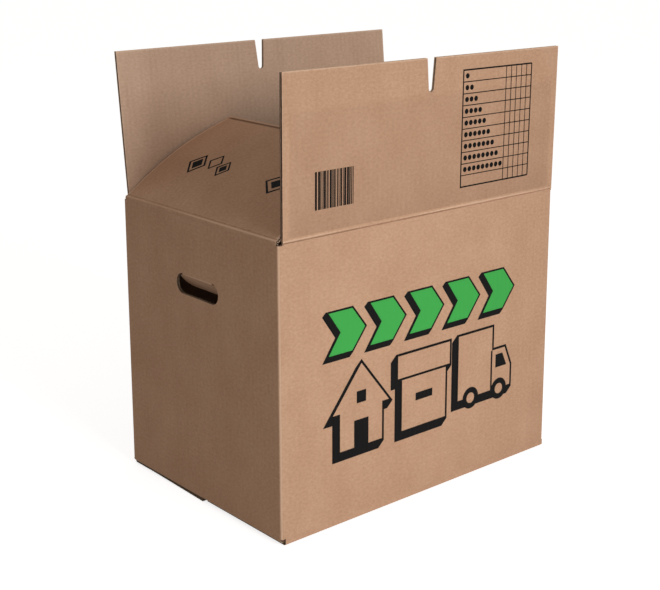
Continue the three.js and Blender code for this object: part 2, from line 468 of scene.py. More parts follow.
def make_fibre_group():
    group, given, out = new_group(
        "paper_fibre",
        (("Flat", "NodeSocketVector", None), ("Specks", "NodeSocketFloat", 1.0)),
        (("Tone", "NodeSocketFloat"), ("Speck", "NodeSocketFloat"), ("Height", "NodeSocketFloat")),
    )
    flat = given.outputs["Flat"]
    strands = noise(group, flat, across=330.0, along=1700.0, detail=4.0, rough=0.62)
    clumps = noise(group, flat, across=210.0, along=330.0, detail=4.0, rough=0.6)
    clouds = noise(group, flat, across=22.0, along=16.0, detail=4.0)
    dots = noise(group, flat, across=700.0, along=900.0, detail=1.0)
    tone = maths(group, "ADD", swing(group, strands, 0.9), swing(group, clumps, 1.1))
    tone = maths(group, "ADD", tone, swing(group, clouds, 0.6))
    speck = maths(group, "MULTIPLY", between(group, dots, SPECK_FROM, SPECK_TO), given.outputs["Specks"])
    height = maths(group, "ADD", scaled(group, strands, 0.5), scaled(group, clumps, 0.5))
    group.links.new(tone, out.inputs["Tone"])
    group.links.new(speck, out.inputs["Speck"])
    group.links.new(height, out.inputs["Height"])
    return group


fibre_group = make_fibre_group()
print("node group:", fibre_group.name)


# %% Flute line group
PATCHY_FROM, PATCHY_TO = 0.35, 0.7


def make_flute_group():
    group, given, out = new_group(
        "flute_lines",
        (("Flat", "NodeSocketVector", None), ("Pitch", "NodeSocketFloat", FLUTE_PITCH * MM)),
        (("Ridge", "NodeSocketFloat"), ("Patchy", "NodeSocketFloat")),
    )
    across = node(group, "ShaderNodeSeparateXYZ", None, Vector=given.outputs["Flat"]).outputs["X"]
    turns = maths(group, "DIVIDE", across, given.outputs["Pitch"])
    wave = maths(group, "SINE", scaled(group, turns, 2 * math.pi))
    ridge = maths(group, "ADD", scaled(group, wave, 0.5), 0.5)
    uneven = noise(group, given.outputs["Flat"], across=60.0, along=9.0)
    group.links.new(ridge, out.inputs["Ridge"])
    group.links.new(between(group, uneven, PATCHY_FROM, PATCHY_TO), out.inputs["Patchy"])
    return group


flute_group = make_flute_group()
print("node group:", flute_group.name)


# %% Rubbed edge, painted highlight and painted shade group
RUB_FROM, RUB_TO = 0.55, 0.95
PAINTED_SHADE_FROM, PAINTED_SHADE_TO = -0.1, -0.8


def make_rub_group():
    """Reads the value of each point: above zero it is rubbed pale, with a painted highlight on some
    creases, and below zero it is painted shade.
    """
    group, given, out = new_group(
        "rub_highlight_and_shade",
        (("Flat", "NodeSocketVector", None), ("Amount", "NodeSocketFloat", 1.0)),
        (("RubAndHighlight", "NodeSocketFloat"), ("PaintedShade", "NodeSocketFloat")),
    )
    wear_and_shade = node(group, "ShaderNodeAttribute", {"attribute_name": "wear_and_shade"}).outputs["Fac"]
    broken = noise(group, given.outputs["Flat"], across=220.0, along=160.0, detail=4.0, rough=0.6)
    torn = maths(group, "ADD", wear_and_shade, swing(group, broken, 1.1))
    rub = maths(group, "MULTIPLY", between(group, torn, RUB_FROM, RUB_TO), given.outputs["Amount"])
    group.links.new(maths(group, "MULTIPLY", rub, wear_and_shade, True), out.inputs["RubAndHighlight"])
    group.links.new(between(group, wear_and_shade, PAINTED_SHADE_TO, PAINTED_SHADE_FROM, 1.0, 0.0), out.inputs["PaintedShade"])
    return group


rub_shade_group = make_rub_group()
print("node group:", rub_shade_group.name)

# %% [markdown]
# ## The papers
#
# The outer liner is the smooth printed side. The inner liner is a little paler on the flaps; inside
# the walls a darker copy of it is painted shade. The fluting is painted with the dark of the hollow
# that it stands in, as painted shade, a cut across the flutes is pale and open, and a nearly black
# cut is painted shade too. Each could have a material built from nothing, but they share one recipe
# with other colours and strengths, so that they read as one sheet of board.


# %% Colours and groups in a material
def linear(red, green, blue):
    """A colour picked from the photo, in the linear values that the shader works with."""
    values = []
    for level in (red, green, blue):
        part = level / 255
        values.append(part / 12.92 if part <= 0.04045 else ((part + 0.055) / 1.055) ** 2.4)
    return (*values, 1.0)


def grouped(tree, group, flat, **inputs):
    made = tree.nodes.new("ShaderNodeGroup")
    made.node_tree = group
    tree.links.new(flat, made.inputs["Flat"])
    for name, value in inputs.items():
        made.inputs[name].default_value = value
    return made


# %% Paper material
PAINTED_SHADE_COLOUR = linear(74, 54, 40)
SPECK_STRENGTH = 0.35
RUB_STRENGTH = 0.8
PAINTED_SHADE_STRENGTH = 0.7
THIN_FROM, THIN_TO = 0.62, 0.78  # between these heights of the fibres the ink wears thin
ROUGH_LEAST, ROUGH_SWING = 0.76, 0.16
SHINE = 0.1
FIBRE_HEIGHT = 0.06
BUMP_STRENGTH, BUMP_DISTANCE = 0.5, 0.0006


def paper_colour(tree, tones, contrast, flute_shade, ink, fibre, flutes, rubbed):
    base, dark, pale = tones
    tone = maths(tree, "ADD", scaled(tree, fibre["Tone"], contrast), 0.5, True)
    colour = mix_colour(tree, tone, dark, pale)
    colour = mix_colour(tree, 0.5, colour, base)
    shaded = maths(tree, "MULTIPLY", scaled(tree, flutes["Ridge"], flute_shade), flutes["Patchy"])
    colour = mix_colour(tree, shaded, colour, dark)
    colour = mix_colour(tree, scaled(tree, fibre["Speck"], SPECK_STRENGTH), colour, dark)
    if ink:
        thin = between(tree, fibre["Height"], THIN_FROM, THIN_TO, 0.0, ink["thin"])
        colour = mix_colour(tree, thin, ink["colour"], colour)
    # rubbed pale, with a painted highlight on some creases; then painted shade where the value is below
    # zero
    colour = mix_colour(tree, scaled(tree, rubbed["RubAndHighlight"], RUB_STRENGTH), colour, pale)
    return mix_colour(tree, scaled(tree, rubbed["PaintedShade"], PAINTED_SHADE_STRENGTH), colour, PAINTED_SHADE_COLOUR)


def paper_material(name, tones, contrast, flute_shade=0.0, flute_height=0.0, rub=0.0, ink=None):
    """tones are the paper's own colour, a darker one and a paler one."""
    material = bpy.data.materials.new(name)
    material.use_nodes = True
    tree = material.node_tree
    shader = tree.nodes["Principled BSDF"]
    flat = node(tree, "ShaderNodeUVMap", {"uv_map": "flat"}).outputs[0]
    fibre = grouped(tree, fibre_group, flat).outputs
    flutes = grouped(tree, flute_group, flat).outputs
    rubbed = grouped(tree, rub_shade_group, flat, Amount=rub).outputs
    colour = paper_colour(tree, tones, contrast, flute_shade, ink, fibre, flutes, rubbed)
    rough = maths(tree, "ADD", scaled(tree, fibre["Height"], ROUGH_SWING), ROUGH_LEAST)
    ridges = scaled(tree, flutes["Ridge"], flute_height)
    height = maths(tree, "ADD", ridges, scaled(tree, fibre["Height"], FIBRE_HEIGHT))
    bump = node(
        tree, "ShaderNodeBump", None,
        Height=height, Strength=BUMP_STRENGTH, Distance=BUMP_DISTANCE,
    )
    tree.links.new(colour, shader.inputs["Base Color"])
    tree.links.new(rough, shader.inputs["Roughness"])
    tree.links.new(bump.outputs[0], shader.inputs["Normal"])
    shader.inputs["Specular IOR Level"].default_value = SHINE
    materials[name] = material


KRAFT = (linear(190, 149, 120), linear(158, 118, 90), linear(214, 179, 152))
INSIDE = (linear(206, 172, 148), linear(170, 137, 113), linear(228, 198, 174))
# painted shade: a darker copy of the inside, for the inner faces of the walls
SHADED = (linear(138, 111, 90), linear(112, 86, 67), linear(158, 130, 108))
# painted shade: the fluting is as dark as the hollow between the liners
HOLLOW_PAINTED_SHADE = (linear(54, 41, 32), linear(34, 25, 19), linear(205, 178, 150))
OPEN_CUT = (linear(205, 176, 148), linear(176, 143, 115), linear(226, 202, 176))
# painted shade: nearly black, for cut edges that lie in shade
CUT_EDGE_SHADE = (linear(24, 19, 15), linear(13, 10, 8), linear(46, 36, 29))
paper_material("outer_liner", KRAFT, contrast=1.2, flute_shade=0.08, flute_height=0.32, rub=1.0)
paper_material("inner_liner", INSIDE, contrast=1.2, flute_shade=0.16, flute_height=0.34, rub=0.7)
paper_material("inside_wall_shaded", SHADED, contrast=1.2, flute_shade=0.08, flute_height=0.34, rub=0.4)
paper_material("fluting", HOLLOW_PAINTED_SHADE, contrast=0.7, rub=1.0)
paper_material("cut_edge", OPEN_CUT, contrast=1.6)
paper_material("cut_edge_painted_shade", CUT_EDGE_SHADE, contrast=2.0)
print("papers:", sorted(materials))

BOARD_PAPERS = ("outer_liner", "inner_liner", "fluting", "cut_edge")
WALL_PAPERS = ("outer_liner", "inside_wall_shaded", "fluting", "cut_edge")
EDGE_SHADE_PAPERS = BOARD_PAPERS + ("cut_edge_painted_shade",)

# %% [markdown]
# ## Printing inks
#
# The box is printed with rubber plates that press thin ink onto the rough liner, so fibres show
# through. Two plates, black and green, are enough for the whole box. An ink could be a plain flat
# colour, but then it would look like a sticker, so it uses the paper's recipe under the ink.

# %% Inks
INKS = {
    "black_ink": {"colour": linear(17, 16, 16), "thin": 0.25},
    "green_ink": {"colour": linear(66, 166, 78), "thin": 0.3},
}
for ink_name, ink in INKS.items():
    paper_material(ink_name, KRAFT, contrast=1.2, flute_height=0.5, ink=ink)
print("inks:", sorted(INKS))

# %% [markdown]
# ## The body
#
# The four walls are one strip of board bent at the upright corners. It starts with the glue
# lap inside the right end, runs along the back, the left end and the front, and closes with the
# right end, whose cut edge lies over the back corner. Four separate walls would be simpler, but
# their corners would be sharp. Walking along this path gives the place of each u, so the papers
# and the flutes run on through the corners as they do on the real sheet.

# %% The path around the box
RIGHT_ANGLE = 90.0
LAP_CLEARANCE = 0.2
LAP_FACE = HALF_LENGTH - BOARD - LAP_CLEARANCE
PATH = (
    ("straight", LAP_WIDTH),
    ("bend", RIGHT_ANGLE),
    ("straight", LAP_FACE + HALF_LENGTH - 2 * BEND),
    ("bend", RIGHT_ANGLE),
    ("straight", BOX_WIDTH - 2 * BEND),
    ("bend", RIGHT_ANGLE),
    ("straight", BOX_LENGTH - 2 * BEND),
    ("bend", RIGHT_ANGLE),
    ("straight", BOX_WIDTH - BEND),
)
BEND_LENGTH = math.radians(RIGHT_ANGLE) * BEND
HALF_END = HALF_WIDTH - SLOT_ON_END


def path_marks():
    marks, total = [0.0], 0.0
    for kind, size in PATH:
        total += size if kind == "straight" else BEND_LENGTH
        marks.append(total)
    return marks


MARKS = path_marks()
LAP_U, BACK_U, LEFT_U, FRONT_U, RIGHT_U = (MARKS[n:n + 2] for n in (0, 2, 4, 6, 8))


def around(u, depth):
    """Place in plan of a point at path length u, at a depth below the outer face."""
    x, y, heading = LAP_FACE, HALF_WIDTH - BEND - LAP_WIDTH, RIGHT_ANGLE
    for kind, size in PATH:
        length = size if kind == "straight" else BEND_LENGTH
        step = min(u, length)
        angle = math.radians(heading)
        ahead = (math.cos(angle), math.sin(angle))
        inward = (-ahead[1], ahead[0])
        last = u <= length + NOTHING / 1000
        if kind == "straight":
            x, y = x + ahead[0] * step, y + ahead[1] * step
        else:
            centre = (x + inward[0] * BEND, y + inward[1] * BEND)
            turn = angle + step / BEND
            inward = (-math.sin(turn), math.cos(turn))
            x, y = centre[0] - inward[0] * BEND, centre[1] - inward[1] * BEND
            heading += math.degrees(step / BEND)
        if last:
            return x + inward[0] * depth, y + inward[1] * depth
        u -= length
    return x, y


print("blank is", round(MARKS[-1]), "mm around")


# %% [markdown]
# ## Hand holes and wear
#
# Each end has a hand hole with round ends. It could be cut out of finished walls with a boolean,
# but three thin papers give such a cut trouble. Instead, in a column that the hole crosses, one
# row follows the hole's lower edge and the next its upper edge, so the paper stops exactly on the
# curve. Wear is a value for each point: the corners and folds rub on everything, so it is high
# there and fades away from them. Elsewhere the same value goes below zero for painted shade, and
# on the creases it also carries a painted highlight.

# %% How wear fades, and the shape of a hand hole
def fading(strength, distance, reach):
    """Wear that is strongest on a line and dies out slowly away from it."""
    return strength * math.exp(-distance / reach)


def band(strength, distance, reach):
    """Wear in a band along a line, with soft sides."""
    return strength * math.exp(-((distance / reach) ** 2))


def stadium_half(offset, length, height):
    """Half the height of a slot with round ends, at a distance from its middle."""
    radius = height / 2
    past = abs(offset) - (length / 2 - radius)
    if past <= 0:
        return radius
    return math.sqrt(max(radius * radius - past * past, 0.0))


def hole_columns(middle):
    radius = HOLE_HEIGHT / 2
    flat_half = HOLE_LENGTH / 2 - radius
    arc = [flat_half + radius * math.sin(math.radians(a)) for a in range(0, 91, 9)]
    return [middle + side * place for side in (-1, 1) for place in arc]


print("a hand hole has", len(hole_columns(0.0)), "columns of points at its round ends")

# %% The ring of four walls
LEFT_MIDDLE = sum(LEFT_U) / 2
RIGHT_MIDDLE = RIGHT_U[0] + HALF_WIDTH - BEND
HOLE_MIDDLE = HOLE_TOP - HOLE_HEIGHT / 2
HOLE_SHOULDER = HOLE_HEIGHT / 2
LAP_LOW_END, LAP_HIGH_END = 16.0, 12.0  # how far the glue lap stays clear of the two folds
NEAR_EDGE = (3.0, 8.0)  # extra columns beside each corner, so that wear can fade
NEAR_FOOT = (3.0, 9.0)
CORNER_RIM = 0.4  # the palest line lies this far off the middle of a corner
RIM_RUB, RIM_REACH = 1.3, 1.1
CORNER_RUB, CORNER_REACH = 0.55, 5.0
FOLD_RUB, FOLD_REACH = 1.0, 6.0
PANEL_STEP = 30.0
LOW_STEP, HIGH_STEP = 40.0, 16.0  # between rows of points below and above the hand holes
BEND_STEPS = 9


def hole_at(u):
    """Half the height of the hand hole at u, or nothing where there is none."""
    openings = [
        stadium_half(u - middle, HOLE_LENGTH, HOLE_HEIGHT)
        for middle in (LEFT_MIDDLE, RIGHT_MIDDLE) if abs(u - middle) < HOLE_LENGTH / 2
    ]
    return max(openings, default=0.0)


def ring_rows(u):
    low = span(RING_LOW, HOLE_MIDDLE - 2 * HOLE_SHOULDER, LOW_STEP)
    high = span(HOLE_MIDDLE + 2 * HOLE_SHOULDER, RING_HIGH, HIGH_STEP)
    edge = [RING_LOW + up for up in NEAR_FOOT]
    return low[:1] + edge + low[1:] + [HOLE_MIDDLE - hole_at(u), HOLE_MIDDLE + hole_at(u)] + high


def ring_keep(u, v):
    if u < LAP_U[1] and not RING_LOW + LAP_LOW_END < v < RING_HIGH - LAP_HIGH_END:
        return False
    return not abs(v - HOLE_MIDDLE) < hole_at(u)


def ring_wear(u, v):
    bends = [(MARKS[n] + MARKS[n + 1]) / 2 for n in (1, 3, 5, 7)] + [MARKS[-1]]
    side = min(abs(u - bend) for bend in bends)
    up = min(abs(v - END_FOLD), abs(v - END_LOW))
    rim = band(RIM_RUB, side - CORNER_RIM, RIM_REACH)
    corner = fading(CORNER_RUB, side, CORNER_REACH)
    return max(rim, corner, fading(FOLD_RUB, up, FOLD_REACH))


def bend_columns():
    columns = []
    for n, (kind, _) in enumerate(PATH):
        if kind == "bend":
            columns += list(np.linspace(MARKS[n], MARKS[n + 1], BEND_STEPS))
            columns += [MARKS[n] - away for away in NEAR_EDGE]
            columns += [MARKS[n + 1] + away for away in NEAR_EDGE]
    return columns


def ring_place(u, v, depth):
    x, y = around(u, depth)
    return x, y, v


panel_columns = [span(*panel, PANEL_STEP) for panel in (BACK_U, LEFT_U, FRONT_U, RIGHT_U)]
ring_columns = merged_columns(
    [0.0, MARKS[-1]], [MARKS[-1] - away for away in NEAR_EDGE], bend_columns(), *panel_columns,
    hole_columns(LEFT_MIDDLE), hole_columns(RIGHT_MIDDLE),
)
# the walls' cut edges take the dark fluting paper, which is painted shade
body_board = Pile("body_board", SLOT_FLUTING, SLOT_FLUTING)
body_board.board(ring_columns, ring_rows, ring_keep, ring_place, ring_wear)
print("ring of walls:", len(ring_columns), "columns")

# %% [markdown]
# ## The closed bottom
#
# Below the slots each wall goes on around its bottom crease into a bottom flap. The two end
# flaps lie inside, the two long ones outside, one board lower, and meet near the middle. A single
# floor would do for most views, but its edges show at the foot of the box, where the photo has
# the ends of these flaps and the step between them.

# %% Where the ends of a bottom flap lie
RIGHT_REACH = HALF_LENGTH - FLAP_RIGHT_INSET
LEFT_REACH = HALF_LENGTH - FLAP_LEFT_INSET
BACK_REACH = HALF_LENGTH - BACK_BOTTOM_INSET
END_BAND = 1.0  # points this near to an end belong to it


def straight_ends(u, v):
    return u


def end_wall_ends(u, v):
    """An end wall's foot reaches further into the corners than its bottom flap does."""
    if abs(u) > HALF_END - END_BAND and v < RING_LOW - END_LOW - BEND + BEND_LENGTH:
        return u + math.copysign(SLOT_ON_END - CORNER_SLOT_SHOWN, u)
    return u


def back_wall_ends(u, v):
    """The left end of the back wall's bottom flap was cut askew."""
    if u > BACK_REACH - END_BAND:
        return u - BACK_BOTTOM_SKEW * (1.0 - v / HALF_WIDTH)
    return u


print("bottom flaps reach", LEFT_REACH, "mm to the left and", RIGHT_REACH, "mm to the right")


# %% Bottom flaps
FOOT_STEPS = 7
FOOT_RUB, FOOT_REACH = 1.0, 5.0
END_RUB, END_REACH = 0.5, 4.0
BOTTOM_STEP = 40.0
FLAP_BANDS = (120.0, 60.0, 8.0, 0.0)  # rows of points, measured back from the flap's free edge


def bottom_place(origin, along, inward, low, ends):
    """Folds a wall's foot and its bottom flap: v counts down the wall and then in along the flap."""
    corner = RING_LOW - low - BEND

    def place(u, v, depth):
        u = ends(u, v)
        base_x = origin[0] + along[0] * u
        base_y = origin[1] + along[1] * u
        if v <= corner:
            reach, z = depth, RING_LOW - v
        elif v <= corner + BEND_LENGTH:
            turn = (v - corner) / BEND
            reach = BEND - (BEND - depth) * math.cos(turn)
            z = low + BEND - (BEND - depth) * math.sin(turn)
        else:
            reach, z = BEND + v - corner - BEND_LENGTH, low + depth
        return base_x + inward[0] * reach, base_y + inward[1] * reach, z

    return place


def add_bottom(origin, along, inward, low, from_u, to_u, ends=straight_ends):
    corner = RING_LOW - low - BEND
    edge = corner + BEND_LENGTH + HALF_WIDTH - BOTTOM_SEAM / 2 - BEND
    turn = list(corner + np.linspace(0, BEND_LENGTH, FOOT_STEPS))
    rows = [0.0] + turn + [edge - back for back in FLAP_BANDS]
    rows = merged_columns([v for v in rows if v >= 0.0])
    fold = corner + BEND_LENGTH / 2

    def wear_and_shade(u, v):
        side = min(abs(u - from_u), abs(u - to_u))
        return max(fading(FOOT_RUB, abs(v - fold), FOOT_REACH), fading(END_RUB, side, END_REACH))

    place = bottom_place(origin, along, inward, low, ends)
    columns = merged_columns(span(from_u, to_u, BOTTOM_STEP))
    body_board.board(columns, lambda u: rows, everywhere, place, wear_and_shade)


for side in (-1, 1):
    add_bottom(
        (side * HALF_LENGTH, 0), (0, side), (-side, 0), END_LOW, -HALF_END, HALF_END, end_wall_ends,
    )
add_bottom((0, -HALF_WIDTH), (1, 0), (0, 1), 0.0, -LEFT_REACH, RIGHT_REACH)
add_bottom((0, HALF_WIDTH), (-1, 0), (0, -1), 0.0, -RIGHT_REACH, BACK_REACH, back_wall_ends)
body_board.finish("box", WALL_PAPERS, ("body",))

# %% [markdown]
# ## The long top flaps
#
# The front and back flaps stand nearly upright. Each has a tapered notch with a round bottom in
# the middle of its free edge, where the two lock into each other when the box is closed. They
# were cut a little out of square, so the free edge sits a few millimetres to the left. As at the
# hand holes, the top row of points follows the notch, which needs no cutting afterwards.

# %% The notch and the grid of a long flap
NOTCH_SHIFT = 0.4  # the notch sits this share of the flap's skew to the right
NOTCH_MIDDLE = FLAP_SKEW * NOTCH_SHIFT
NOTCH_FLOOR = FLAP - NOTCH_DEPTH
LONG_ROWS = [CREASE, CREASE + 3.0, 14.0, 50.0, 100.0, NOTCH_FLOOR - 8.0]
RIM_ROW = 3.0  # the last row but one lies this far below the free edge
FLAP_ENDS = (0.0, 4.0, 12.0)  # columns near an end, measured in from it
LONG_STEP = 26.0


def notch_bottom(u):
    """Height of the notch's outline above the fold at a distance u from its middle line."""
    root = NOTCH_ROOT / 2
    mouth = NOTCH_MOUTH / 2
    offset = abs(u)
    if offset <= root:
        return NOTCH_FLOOR + root - math.sqrt(max(root * root - offset * offset, 0.0))
    if offset < mouth:
        return NOTCH_FLOOR + root + (offset - root) / (mouth - root) * (NOTCH_DEPTH - root)
    return FLAP


def long_rows(u):
    top = notch_bottom(u - NOTCH_MIDDLE)
    in_notch = top < FLAP - RIM_ROW - NOTCH_ROOT
    return LONG_ROWS + [top if in_notch else top - RIM_ROW, top]


def long_columns():
    arc = [NOTCH_ROOT / 2 * math.sin(math.radians(a)) for a in range(-90, 91, 15)]
    taper = [NOTCH_MOUTH / 2 * side for side in (-1, 1)]
    notch = [NOTCH_MIDDLE + place for place in arc + taper]
    left = [-LEFT_REACH + inset for inset in FLAP_ENDS]
    right = [RIGHT_REACH - inset for inset in FLAP_ENDS]
    return merged_columns(left, right, notch, span(left[-1], right[-1], LONG_STEP))


print("a long flap has", len(long_columns()), "columns")


# %% Long flaps
EDGE_RUB, EDGE_REACH = 1.3, 3.0
SIDE_RUB, SIDE_REACH = 0.9, 3.0
# painted shade on the front flap, all over and more just above its fold
FLAP_SHADE = 0.17
FOLD_SHADE, FOLD_SHADE_REACH = 0.16, 60.0


def free_edge_wear(u, v):
    """The free edge is knocked about, so its papers are rubbed pale, and the tips of its flutes show
    pale paper instead of the painted shade of the hollow.
    """
    return fading(EDGE_RUB, max(FLAP - v, 0.0), EDGE_REACH)


def long_wear(u, v):
    side = min(u + LEFT_REACH, RIGHT_REACH - u)
    return max(free_edge_wear(u, v), fading(SIDE_RUB, side, SIDE_REACH))


def flap_wear_and_shade(u, v):
    """Wear of the front flap, less a painted shade: a little darker than the walls, most of all just
    above its fold.
    """
    return long_wear(u, v) - FLAP_SHADE - fading(FOLD_SHADE, v, FOLD_SHADE_REACH)


def long_flap_place(side, lean):
    """side is -1 for the front flap and 1 for the back one; the free edge is cut a little askew."""
    cos_lean, sin_lean = math.cos(math.radians(lean)), math.sin(math.radians(lean))
    trim_left, trim_right = FRONT_TRIM if side < 0 else BACK_TRIM

    def place(u, v, depth):
        across = (u + LEFT_REACH) / (LEFT_REACH + RIGHT_REACH)
        trim = trim_left + (trim_right - trim_left) * across
        v += trim * max(v - CREASE, 0.0) / (FLAP - CREASE)
        x = u - FLAP_SKEW * v / FLAP
        out = v * sin_lean - depth * cos_lean
        return x, side * (HALF_WIDTH + out), LONG_FOLD + v * cos_lean + depth * sin_lean

    return place


def make_long_flap(name, body, cad_node, side, lean, wear_and_shade, papers, cuts_along=None):
    pile = Pile(name, cuts_along=cuts_along)
    place = long_flap_place(side, lean)
    pile.board(long_columns(), long_rows, everywhere, place, wear_and_shade, free_edge_wear)
    pile.finish(body, papers, (cad_node,))


# the front flap's cuts along the flutes get the nearly black painted shade
make_long_flap(
    "front_flap_board", "front_flap", "front_top_flap", -1, FRONT_LEAN,
    flap_wear_and_shade, EDGE_SHADE_PAPERS, SLOT_EDGE_SHADE,
)
make_long_flap(
    "back_flap_board", "back_flap", "back_top_flap", 1, BACK_LEAN, long_wear, BOARD_PAPERS,
)

# %% [markdown]
# ## The end top flaps
#
# Both end flaps are pushed inward and bow upward a little between the fold and the free edge.
# A cloth simulation could find the bow, but half a sine wave is the same every time and easy to
# set. The flap is drawn standing up, given its bow, and then turned about its fold. A painted
# shadow line runs just inside the pale rim.

# %% End flaps
END_ROWS = [CREASE, CREASE + 3.0] + span(14.0, FLAP - 8.0, 10.0)
RIM_ROWS = [FLAP - down for down in (6.0, 4.5, 3.0, 1.5, 0.0)]
END_STEP = 40.0
END_FOLD_RUB, END_FOLD_REACH = 1.0, 5.0
END_RIM_RUB, END_RIM_REACH = 1.8, 1.5
END_SIDE_RUB, END_SIDE_REACH = 2.0, 3.0
RIM_SHADOW_DARKNESS, RIM_SHADOW_REACH = 1.6, 1.8
RIM_SHADOW_INSET = 4.5  # how far inside the rim the painted shadow line runs


def end_flap_place(side):
    """side is -1 for the left flap and 1 for the right one."""
    cos_turn, sin_turn = math.cos(math.radians(END_TURN)), math.sin(math.radians(END_TURN))

    def place(u, v, depth):
        slope = -END_FLAP_BOW * math.pi * math.cos(math.pi * v / FLAP) / FLAP
        stretch = math.hypot(1.0, slope)
        out = -END_FLAP_BOW * math.sin(math.pi * v / FLAP) + depth / stretch
        up = v - depth * slope / stretch
        x = HALF_LENGTH - (out * cos_turn + up * sin_turn)
        z = END_FOLD - out * sin_turn + up * cos_turn
        return side * x, side * u, z

    return place


def end_wear(u, v):
    side, rim = END_FLAP_HALF - abs(u), FLAP - v
    rubbed = max(
        fading(END_FOLD_RUB, abs(v), END_FOLD_REACH),
        fading(END_RIM_RUB, rim, END_RIM_REACH),
        fading(END_SIDE_RUB, side, END_SIDE_REACH),
    )
    # the rim is rubbed pale; a painted shadow line runs just inside it
    return rubbed - band(RIM_SHADOW_DARKNESS, rim - RIM_SHADOW_INSET, RIM_SHADOW_REACH)


def make_end_flap(name, body, cad_node, side):
    ends = [END_FLAP_HALF - inset for inset in FLAP_ENDS]
    columns = merged_columns(ends, [-end for end in ends], span(-ends[-1], ends[-1], END_STEP))
    rows = END_ROWS + RIM_ROWS
    pile = Pile(name)
    place = end_flap_place(side)
    pile.board(columns, lambda u: rows, everywhere, place, end_wear, free_edge_wear)
    pile.finish(body, BOARD_PAPERS, (cad_node,))


make_end_flap("left_flap_board", "left_flap", "left_top_flap", -1)
make_end_flap("right_flap_board", "right_flap", "right_top_flap", 1)

# %% [markdown]
# ## The creases
#
# A crease is where a wheel crushed the fluting flat, so that the sheet can bend. The outer liner
# runs on without a break. On the long folds it bulges a little above a narrow dent, and the inner
# liner is pinched in. The flap could simply start where the wall ends, but a gap would show at the
# fold. So each crease is a strip of its own that spans both sides of the fold. It is drawn with
# the flap in line with the wall and then bent to the rest angle, where it stays.

# %% The section of a crease
CREASE_ROWS = [-2.6, -2.0, -1.4, -0.8, -0.2, 0.4, 1.1, 2.0, 3.0]  # heights above the fold line
DENT_UP, DENT_WIDTH = -1.4, 0.6
BULGE_UP, BULGE_WIDTH, BULGE_SHARE = 0.4, 1.0, 0.6
PINCH_WIDTH = 1.9
UNEVEN_MIDDLE, UNEVEN_SWING = 0.72, 0.28
UNEVEN_SHORT, UNEVEN_LONG = 31.0, 83.0


def crease_weight(v, start, stop):
    """How much of the turn has been made at v: none at start and all at stop."""
    part = min(max((v - start) / (stop - start), 0.0), 1.0)
    return part * part * (3.0 - 2.0 * part)


def pinch(v, depth, dent, pinched):
    """How deep a layer lies near the fold line; pinched is the board's thickness on that line."""
    outer = dent * (band(1.0, v - DENT_UP, DENT_WIDTH) - band(BULGE_SHARE, v - BULGE_UP, BULGE_WIDTH))
    squeeze = band(BOARD - pinched, v, PINCH_WIDTH)
    part = depth / BOARD
    return outer * (1 - part) + depth - squeeze * part


def unevenness(u):
    """A crease isn't equally deep along its length: two long waves stand in for that."""
    waves = math.sin(u / UNEVEN_SHORT + 1.0) * math.cos(u / UNEVEN_LONG)
    return UNEVEN_MIDDLE + UNEVEN_SWING * waves


print("a crease is pinched from", BOARD, "mm over about", 2 * PINCH_WIDTH, "mm")


# %% Wear, painted highlight and painted shadow of a crease
# the pale band is partly rubbed and partly a painted highlight; the dark band is a painted shadow
RUB_UP, RUB_WIDTH = 0.9, 1.6
RUB_LEAST, RUB_GROWTH = 0.95, 0.3
RUB_SWING, RUB_WAVE = 0.25, 47.0
CREASE_SHADOW_UP, CREASE_SHADOW_WIDTH = -1.5, 0.6
CREASE_SHADOW_MOST, CREASE_SHADOW_LOSS = 0.85, 0.45
SHADE_START = -1.0


def crease_rub_and_highlight(v, across, u):
    """A pale band above the fold line, partly rubbed and partly a painted highlight, more so towards the
    right end.
    """
    rubbed = RUB_LEAST + RUB_GROWTH * across + RUB_SWING * math.sin(u / RUB_WAVE)
    return band(rubbed, v - RUB_UP, RUB_WIDTH)


def crease_painted_shadow(v, across):
    """A painted shadow in the dent, less so towards the right end."""
    return band(CREASE_SHADOW_MOST - CREASE_SHADOW_LOSS * across, v - CREASE_SHADOW_UP, CREASE_SHADOW_WIDTH)


print("a crease is rubbed", RUB_UP, "mm above its fold line")


# %% Crease strips
CREASE_STEP = 12.0


def crease_place(hinge, along, inward, start, stop, angle, skew, dent, upward, pinched):
    def place(u, v, depth):
        deep = pinch(v, depth, dent * unevenness(u), pinched)
        turn = math.radians(angle) * crease_weight(v, start, stop)
        reach = deep * math.cos(turn) + v * math.sin(turn)
        up = v * math.cos(turn) - deep * math.sin(turn)
        shifted = u - skew * max(v, 0.0) / FLAP
        x = hinge[0] + along[0] * shifted + inward[0] * reach
        y = hinge[1] + along[1] * shifted + inward[1] * reach
        return x, y, hinge[2] + upward * up

    return place


def make_crease(
    name, hinge, along, inward, start, angle, from_u, to_u,
    skew=0.0, stop=CREASE, dent=0.0, upward=1, pinched=1.6, painted_shade=False, shade=0.0,
):
    """A strip across one fold; angle is how far the flap is turned inward from the wall's plane."""
    def wear_and_shade(u, v):
        across = (u - from_u) / (to_u - from_u)
        rubbed = crease_rub_and_highlight(v, across, u)
        if not painted_shade:
            return rubbed
        # a painted shadow in the dent, and on the front crease the flap's painted shade
        return rubbed - crease_painted_shadow(v, across) - shade * crease_weight(v, SHADE_START, stop)

    rows = [v for v in merged_columns([start, stop], CREASE_ROWS) if start <= v <= stop]
    columns = merged_columns(span(from_u, to_u, CREASE_STEP))
    place = crease_place(hinge, along, inward, start, stop, angle, skew, dent, upward, pinched)
    pile = Pile(name)
    pile.board(columns, lambda u: rows, everywhere, place, wear_and_shade)
    piece = pile.finish(None, BOARD_PAPERS)
    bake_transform(piece)


